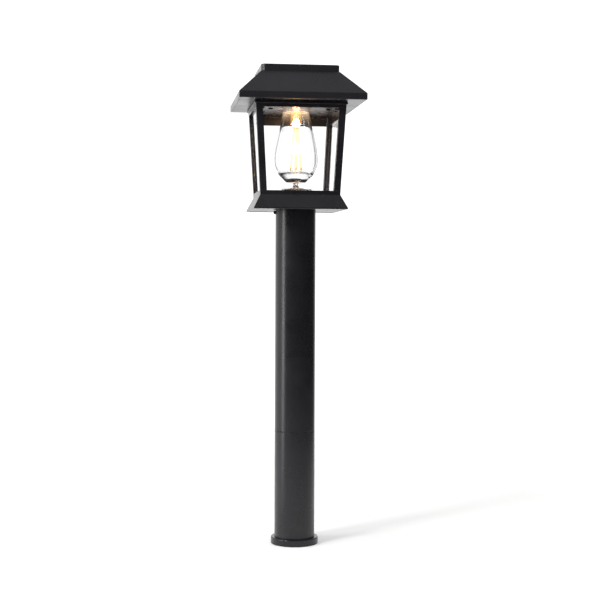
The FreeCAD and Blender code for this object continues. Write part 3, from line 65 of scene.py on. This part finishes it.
class Nodes:
    """The node tree of a material or world, with short calls to add to it."""

    def __init__(self, owner, output="ShaderNodeOutputMaterial"):
        self.owner = owner
        owner.use_nodes = True
        self.tree = owner.node_tree
        self.tree.nodes.clear()
        self.output = self.add(output)

    def add(self, kind, **settings):
        node = self.tree.nodes.new(kind)
        for key, value in settings.items():
            if hasattr(node, key):
                setattr(node, key, value)
            else:
                node.inputs[key.replace("_", " ")].default_value = value
        return node

    def link(self, source, target):
        self.tree.links.new(source, target)

    def fill(self, sockets, values):
        """Set each socket to its number, vector or colour, or link it to the output given."""
        for socket, value in zip(sockets, values):
            if isinstance(value, bpy.types.NodeSocket):
                self.link(value, socket)
            else:
                socket.default_value = value

    def place(self):
        """Object coordinates, in metres, which don't move with the camera."""
        return self.add("ShaderNodeTexCoord").outputs["Object"]

    def axes(self, where):
        """The X, Y and Z of a vector."""
        node = self.add("ShaderNodeSeparateXYZ")
        self.link(where, node.inputs[0])
        return tuple(node.outputs)

    def noise(self, scale, detail, where):
        node = self.add("ShaderNodeTexNoise", Scale=scale, Detail=detail)
        self.link(where, node.inputs["Vector"])
        return node.outputs["Fac"]

    def ramp(self, value, low, high, start, end, shape="LINEAR"):
        """Runs value from low..high to start..end, and holds outside that."""
        node = self.add("ShaderNodeMapRange", interpolation_type=shape, From_Min=low, From_Max=high,
                        To_Min=start, To_Max=end)
        self.link(value, node.inputs["Value"])
        return node.outputs["Result"]

    def math(self, operation, a, b=0.0):
        node = self.add("ShaderNodeMath", operation=operation)
        self.fill(node.inputs, (a, b))
        return node.outputs[0]

    def vector_math(self, operation, *vectors):
        """For the operations whose answer is one number."""
        node = self.add("ShaderNodeVectorMath", operation=operation)
        self.fill(node.inputs, vectors)
        return node.outputs["Value"]

    def blend(self, factor, a, b):
        """Mixes two colours."""
        node = self.add("ShaderNodeMix", data_type="RGBA")
        self.fill((node.inputs[0], node.inputs[6], node.inputs[7]), (factor, a, b))
        return node.outputs[2]

    def bump(self, height, distance, strength, under=None):
        node = self.add("ShaderNodeBump", Strength=strength, Distance=distance)
        self.link(height, node.inputs["Height"])
        if under:
            self.link(under, node.inputs["Normal"])
        return node.outputs["Normal"]

    def mix_shaders(self, factor, a, b):
        node = self.add("ShaderNodeMixShader")
        self.fill(node.inputs, (factor, a, b))
        return node.outputs[0]

    def add_glow(self, shader, colour, strength):
        """The shader with light of one colour added to it."""
        light = self.add("ShaderNodeEmission", Color=colour)
        self.link(strength, light.inputs["Strength"])
        both = self.add("ShaderNodeAddShader")
        self.fill(both.inputs, (shader, light.outputs[0]))
        return both.outputs[0]

    def finish(self, shader):
        self.link(shader, self.output.inputs["Surface"])
        return self.owner


def new_material(name):
    return Nodes(bpy.data.materials.new(name))


def powder_coat(name, base=BLACK, rough=(0.25, 0.32), ior=1.5, edge_radius=0.45, dusty_foot=False):
    """Satin powder coat: fine orange peel, cloudy gloss, edges lightened partly as rubbed wear and
    partly as a painted highlight, pale specks and a dusty foot.
    """
    rubbed_and_highlit_colour, speck_colour = (0.055, 0.055, 0.058, 1), (0.05, 0.05, 0.048, 1)
    dust_colour, dust_height, dust_cover = (0.17, 0.155, 0.135, 1), 0.045, 0.05
    s = new_material(name)
    where = s.place()
    clouds = s.noise(26, 4, where)
    specks = s.noise(900, 2, where)
    peel = s.noise(620, 2, where)
    rounded = s.add("ShaderNodeBevel", Radius=edge_radius * MM)
    rounded.samples = 4
    flat = s.add("ShaderNodeNewGeometry").outputs["Normal"]
    edge = s.ramp(s.vector_math("DOT_PRODUCT", rounded.outputs[0], flat), 0.995, 0.86, 0.0, 1.0)
    # Edges lightened towards a pale grey: partly rubbed wear, partly a painted edge highlight.
    rubbed_and_highlit_edges = s.math("MULTIPLY", edge, s.ramp(s.noise(140, 4, where), 0.40, 0.62, 0.15, 1.0))
    tint = s.blend(s.ramp(clouds, 0.3, 0.7, 0.0, 1.0), base, shade(base, 1.5))
    tint = s.blend(s.math("MULTIPLY", rubbed_and_highlit_edges, 0.55), tint, rubbed_and_highlit_colour)
    tint = s.blend(s.ramp(specks, 0.70, 0.78, 0.0, 0.35), tint, speck_colour)
    roughness = s.ramp(clouds, 0.3, 0.7, *rough)
    if dusty_foot:
        height = s.axes(where)[2]
        low = s.ramp(height, 0.0, dust_height, 1.0, 0.0)
        dust = s.math("MULTIPLY", low, s.ramp(s.noise(55, 6, where), 0.42, 0.66, 0.0, dust_cover))
        tint = s.blend(dust, tint, dust_colour)
        roughness = s.math("ADD", roughness, s.math("MULTIPLY", dust, 0.7))
    shader = s.add("ShaderNodeBsdfPrincipled", IOR=ior)
    s.link(tint, shader.inputs["Base Color"])
    s.link(roughness, shader.inputs["Roughness"])
    s.link(s.bump(peel, 0.035 * MM, 0.3, rounded.outputs[0]), shader.inputs["Normal"])
    return s.finish(shader.outputs[0])


def metal(name, colour, rough=(0.22, 0.4)):
    """Turned or drawn metal: a fine grain with smudges in its gloss."""
    s = new_material(name)
    where = s.place()
    lines = s.noise(1800, 3, where)
    smudge = s.noise(120, 4, where)
    tint = s.blend(s.ramp(smudge, 0.35, 0.7, 0, 1), colour, shade(colour, 0.72))
    shader = s.add("ShaderNodeBsdfPrincipled", Metallic=1.0)
    s.link(tint, shader.inputs["Base Color"])
    s.link(s.ramp(lines, 0.3, 0.7, *rough), shader.inputs["Roughness"])
    s.link(s.bump(lines, 0.02 * MM, 0.4), shader.inputs["Normal"])
    return s.finish(shader.outputs[0])


def plastic(name, colour, rough=(0.4, 0.55), grain=700):
    """Moulded plastic or rubber with a fine spark-eroded grain."""
    s = new_material(name)
    where = s.place()
    pits = s.noise(grain, 2, where)
    clouds = s.noise(60, 3, where)
    tint = s.blend(s.ramp(clouds, 0.3, 0.7, 0, 1), colour, shade(colour, 0.8))
    shader = s.add("ShaderNodeBsdfPrincipled")
    s.link(tint, shader.inputs["Base Color"])
    s.link(s.ramp(clouds, 0.3, 0.7, *rough), shader.inputs["Roughness"])
    s.link(s.bump(pits, 0.04 * MM, 0.5), shader.inputs["Normal"])
    return s.finish(shader.outputs[0])


def painted_stem_glow(s, where, strength):
    """Painted glow of the filaments' light on the lamp's glass stem: most along its middle, and more
    towards its top.
    """
    low, high = (corner.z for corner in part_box("lamp_stem"))
    x, y, z = s.axes(where)
    reach = s.math("SQRT", s.math("ADD", s.math("POWER", x, 2.0), s.math("POWER", y, 2.0)))
    upper = s.math("MULTIPLY", s.ramp(z, low, high, 0.25, 1.0),
                   s.ramp(reach, 4.5 * MM, 6.0 * MM, 5.0, 0.55))
    patches = s.ramp(s.noise(300, 2, where), 0.3, 0.7, 0.7, 1.2)
    return s.math("MULTIPLY", patches, s.math("MULTIPLY", upper, strength))


def painted_rim_glow(s, where, strength):
    """Painted glow of the lamp's light, as the goblet's wall would carry it to the rim, most where the
    wall turns away.
    """
    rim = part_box("lamp_glass")[1].z
    near = s.ramp(s.axes(where)[2], rim - 26 * MM, rim - 1.5 * MM, 0.0, 1.0)
    sides = s.add("ShaderNodeLayerWeight", Blend=0.35).outputs["Facing"]
    return s.math("MULTIPLY", s.math("MULTIPLY", s.math("POWER", near, 3.0), strength),
                  s.ramp(sides, 0.0, 1.0, 0.25, 1.0))


def clear_glass(name, ripple, film=0.0, glow=0.0, painted_rim_strength=0.0):
    """Clear glass with a ripple and a dusty film, which casts hardly any shadow. It may carry a painted
    glow of the lamp's light.
    """
    s = new_material(name)
    where = s.place()
    body = s.add("ShaderNodeBsdfPrincipled", Base_Color=(1, 1, 1, 1), Transmission_Weight=1.0,
                 IOR=GLASS_IOR)
    smudge = s.noise(38, 6, where)
    s.link(s.ramp(smudge, 0.45, 0.8, 0.0, 0.012 + film), body.inputs["Roughness"])
    s.link(s.bump(s.noise(55, 2, where), 0.3 * MM, ripple), body.inputs["Normal"])
    shader = body.outputs[0]
    if glow:
        # Painted glow of the lamp's light in the stem glass.
        shader = s.add_glow(shader, (1.0, 0.50, 0.15, 1), painted_stem_glow(s, where, glow))
    if painted_rim_strength:
        # Painted glow of the lamp's light along the goblet's rim.
        shader = s.add_glow(shader, (1.0, 0.66, 0.36, 1), painted_rim_glow(s, where, painted_rim_strength))
    clear = s.add("ShaderNodeBsdfTransparent", Color=(0.95, 0.95, 0.95, 1))
    in_shadow = s.add("ShaderNodeLightPath").outputs["Is Shadow Ray"]
    return s.finish(s.mix_shaders(in_shadow, shader, clear.outputs[0]))


def lit_strip(name):
    """A phosphor-coated filament: hot in the middle and amber at its two ends."""
    s = new_material(name)
    where = s.place()
    low, high = (corner.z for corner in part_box("led_filaments"))
    up = s.ramp(s.axes(where)[2], low, high, 0.0, 1.0)
    middle = s.math("MULTIPLY", s.ramp(up, 0.0, 0.10, 0.25, 1.0), s.ramp(up, 0.92, 1.0, 1.0, 0.45))
    grain = s.ramp(s.noise(1400, 2, where), 0.3, 0.7, 0.85, 1.1)
    glow = s.add("ShaderNodeEmission")
    s.link(s.blend(middle, (1.0, 0.42, 0.08, 1), (1.0, 0.68, 0.27, 1)), glow.inputs["Color"])
    s.link(s.math("MULTIPLY", s.math("MULTIPLY", middle, grain), 2.6), glow.inputs["Strength"])
    return s.finish(glow.outputs[0])


def floor_paint(name):
    """Pale studio floor that fades into the white behind it."""
    s = new_material(name)
    where = s.place()
    paint = s.add("ShaderNodeBsdfDiffuse")
    tint = s.blend(s.noise(3, 2, where), (0.93, 0.93, 0.925, 1), (0.95, 0.95, 0.945, 1))
    s.link(tint, paint.inputs["Color"])
    fade = s.ramp(s.vector_math("LENGTH", where), FLOOR_RADIUS * 0.35, FLOOR_RADIUS * 0.95, 0.0, 1.0)
    clear = s.add("ShaderNodeBsdfTransparent")
    return s.finish(s.mix_shaders(fade, paint.outputs[0], clear.outputs[0]))


SLOTS = {
    "black_coat": powder_coat("powder_coat"),
    "flange_coat": powder_coat("flange_powder_coat", rough=(0.18, 0.24), ior=1.42, edge_radius=1.0),
    "pane_glass": clear_glass("pane_glass", 0.02, film=0.01),
    "lamp_glass": clear_glass("blown_glass", 0.05, painted_rim_strength=0.45),
    "stem_glass": clear_glass("stem_glass", 0.1, glow=0.36),
    "black_steel": metal("blackened_steel", (0.035, 0.035, 0.037, 1), (0.3, 0.45)),
    "steel": metal("zinc_steel", (0.56, 0.56, 0.55, 1)),
    "rubber": plastic("black_rubber", (0.012, 0.012, 0.012, 1), (0.65, 0.8), 1100),
    "white_plastic": plastic("ivory_plastic", (0.72, 0.70, 0.64, 1)),
    "black_plastic": plastic("black_plastic", (0.015, 0.015, 0.016, 1)),
    "lead_sheath": plastic("lead_sheath", (0.02, 0.02, 0.021, 1), (0.45, 0.6), 500),
    "brass": metal("brass", (0.80, 0.56, 0.24, 1), (0.16, 0.3)),
    "filament": lit_strip("lit_filament"),
}

POST_COAT = powder_coat("post_coat", (0.0068, 0.0066, 0.0088, 1), ior=1.45, edge_radius=1.2,
                        dusty_foot=True)
OWN_COATS = {
    "lower_post": POST_COAT,
    "upper_post": POST_COAT,
    # The sleeve in the seam's groove gets a near-black rough coat: painted shade that darkens the seam.
    "joint_sleeve": powder_coat("sleeve_coat_painted_seam_shade", (0.002, 0.002, 0.0022, 1), (0.6, 0.8)),
}


def coat_nodes():
    """Give every CAD node its own coat, or else the material of its slot."""
    for row in frame["record"]["subparts"]:
        mesh = nodes[row["node"]].data
        mesh.materials.clear()
        mesh.materials.append(OWN_COATS.get(row["node"], SLOTS[row["material_slot"]]))


coat_nodes()

# ---------------------------------------------------------------- making pieces


def put(name, data, at=(0, 0, 0)):
    """A new object in the scene."""
    thing = bpy.data.objects.new(name, data)
    bpy.context.scene.collection.objects.link(thing)
    thing.location = at
    return thing


def piece_from(name, mesh, slot, body):
    piece = put(name, mesh)
    mesh.materials.append(SLOTS[slot])
    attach(piece, body)
    return piece


def lathe(name, profile, steps=128):
    """Turn a closed (radius, height) outline about Z. Points on the axis are shared."""
    bm = bmesh.new()
    turn = [2 * math.pi * i / steps for i in range(steps)]
    rings = []
    for radius, height in profile:
        if radius < 1e-7:
            rings.append([bm.verts.new((0, 0, height))] * steps)
            continue
        rings.append([bm.verts.new((radius * math.cos(a), radius * math.sin(a), height)) for a in turn])
    for low, high in zip(rings, rings[1:] + rings[:1]):
        for i in range(steps):
            corners = [low[i], low[(i + 1) % steps], high[(i + 1) % steps], high[i]]
            unique = list(dict.fromkeys(corners))
            if len(unique) >= 3:
                bm.faces.new(unique)
    bmesh.ops.recalc_face_normals(bm, faces=bm.faces)
    mesh = bpy.data.meshes.new(name)
    bm.to_mesh(mesh)
    bm.free()
    for face in mesh.polygons:
        face.use_smooth = True
    return mesh


def flow(points, steps):
    """Points along a smooth curve through the given ones."""
    out = []
    count = len(points)
    for i in range(count - 1):
        a, b, c, d = (Vector(points[max(0, min(count - 1, i + k))]) for k in (-1, 0, 1, 2))
        for k in range(steps):
            t = k / steps
            out.append(tuple(0.5 * ((2 * b) + (c - a) * t + (2 * a - 5 * b + 4 * c - d) * t ** 2
                                    + (3 * b - a - 3 * c + d) * t ** 3)))
    return out + [tuple(points[-1])]


# The lamp glass: a goblet with a rolled rim, a thick domed floor, a thin stem and a spread foot, as
# (radius, height above its foot) in millimetres. The outside runs up from the foot, the inside down.
GLASS_WALL = 2.6
GLASS_FOOT = ((0.0, 0.0), (18.0, 0.0), (21.1, 0.0), (21.5, 0.4))
GLASS_OUTSIDE = (
    (21.5, 5.0), (19.8, 6.4), (16.6, 7.7), (13.3, 8.5), (8.6, 9.4), (4.95, 10.8), (3.3, 14.0),
    (3.9, 15.7), (5.8, 16.9), (8.4, 17.35), (11.5, 17.4), (14.5, 17.5), (20.05, 23.0), (25.6, 28.5),
    (30.9, 39.5), (32.4, 50.5), (31.25, 66.3), (23.56, 102.4), (18.8, 121.1))
GLASS_INSIDE = (
    (16.2, 121.1), (20.96, 102.4), (28.65, 66.3), (29.8, 50.5), (28.3, 39.5), (22.74, 30.06),
    (15.9, 31.5), (8.0, 32.8), (0.0, 33.1))
CURVE_STEPS = 6
LIP_STEPS = 8


def make_lamp_glass():
    low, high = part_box("lamp_glass")
    base = low.z / MM
    foot, outside, inside = ([(r, base + h) for r, h in points]
                             for points in (GLASS_FOOT, GLASS_OUTSIDE, GLASS_INSIDE))
    rim = base + GLASS_OUTSIDE[-1][1]
    middle = (GLASS_OUTSIDE[-1][0] + GLASS_INSIDE[0][0]) / 2
    lip = [(middle + GLASS_WALL / 2 * math.cos(a), rim + (high.z / MM - rim) * math.sin(a))
           for a in (math.pi * i / LIP_STEPS for i in range(1, LIP_STEPS))]
    profile = foot + flow(outside, CURVE_STEPS) + lip + flow(inside, CURVE_STEPS)
    mesh = lathe("lamp_glass_wall", [(max(r, 0) * MM, h * MM) for r, h in profile])
    glass = piece_from("blown_lamp_glass", mesh, "lamp_glass", "lantern")
    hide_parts("lamp_glass")


make_lamp_glass()

# ---------------------------------------------------------------- camera, light and floor

FOCAL_MM = 74.8
CAMERA_AT = (-0.224, -1.848, 0.4195)
HEADING, PITCH, ROLL = 7.13, -1.71, 0.24

ROOM = 0.07        # the dark room's own light
BACKDROP = 1.12    # the white that the camera sees


def make_camera():
    data = bpy.data.cameras.new("camera")
    data.lens = FOCAL_MM
    camera = put("camera", data, CAMERA_AT)
    turn = Euler((math.radians(90 + PITCH), 0, math.radians(-HEADING)), "XYZ").to_matrix()
    roll = Euler((0, 0, math.radians(ROLL)), "XYZ").to_matrix()
    camera.rotation_euler = (turn @ roll).to_euler()
    bpy.context.scene.camera = camera


def area_light(name, at, towards, width, height, power):
    data = bpy.data.lights.new(name, "AREA")
    data.shape = "RECTANGLE"
    data.size, data.size_y = width, height
    data.energy = power
    light = put(name, data, at)
    light.rotation_euler = (Vector(towards) - Vector(at)).to_track_quat("-Z", "Y").to_euler()
    return light


def lamp_light(name, height, power, size):
    """A small warm light on the lamp's axis, which goes where the lamp goes."""
    data = bpy.data.lights.new(name, "POINT")
    data.energy = power
    data.color = WARM
    data.shadow_soft_size = size
    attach(put(name, data, (0, 0, height)), "lamp")


def make_lights():
    area_light("left_strip", (-1.9, -0.40, 0.75), (0, 0, 0.35), width=0.42, height=1.9, power=17)
    area_light("key_left", (-1.4, -1.0, 1.3), (0, 0, 0.1), width=0.4, height=0.4, power=20)
    wash = area_light("floor_wash", (0.2, -0.2, 2.6), (0, 0, 0), width=2.4, height=2.4, power=41)
    wash.visible_glossy = False
    low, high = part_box("led_filaments")
    lamp_light("lamp_glow", (low.z + high.z) / 2, power=0.20, size=0.010)
    lamp_light("stem_glow", high.z + 8 * MM, power=0.11, size=0.007)


def make_world():
    """White for the eye. For lighting, a dark room, white behind and to the left, grey above."""
    w = Nodes(bpy.data.worlds.new("studio"), "ShaderNodeOutputWorld")
    around = w.add("ShaderNodeTexCoord").outputs["Generated"]

    def side(direction, low, high, start, end):
        along = w.vector_math("DOT_PRODUCT", around, direction)
        return w.ramp(along, low, high, start, end, "SMOOTHSTEP")

    left = side((-1.0, 0.35, 0.0), 0.80, 0.93, ROOM, 1.0)
    back = side((0.0, 1.0, 0.0), 0.55, 0.90, ROOM, 1.30)
    above = side((0.0, 0.0, 1.0), 0.03, 0.22, 0.0, 0.38)
    room = w.math("MAXIMUM", w.math("MAXIMUM", left, back), above)
    seen = w.math("MULTIPLY", w.add("ShaderNodeLightPath").outputs["Is Camera Ray"], BACKDROP)
    light = w.add("ShaderNodeBackground", Color=(1, 1, 1, 1))
    w.link(w.math("MAXIMUM", room, seen), light.inputs["Strength"])
    bpy.context.scene.world = w.finish(light.outputs[0])


def make_floor():
    bm = bmesh.new()
    bmesh.ops.create_circle(bm, cap_ends=True, radius=FLOOR_RADIUS, segments=96)
    mesh = bpy.data.meshes.new("floor")
    bm.to_mesh(mesh)
    bm.free()
    mesh.materials.append(floor_paint("floor_paint"))
    put("floor", mesh, (0, 0, -0.1 * MM))


make_camera()
make_world()
make_floor()
make_lights()
bpy.context.scene.view_settings.view_transform = "Standard"
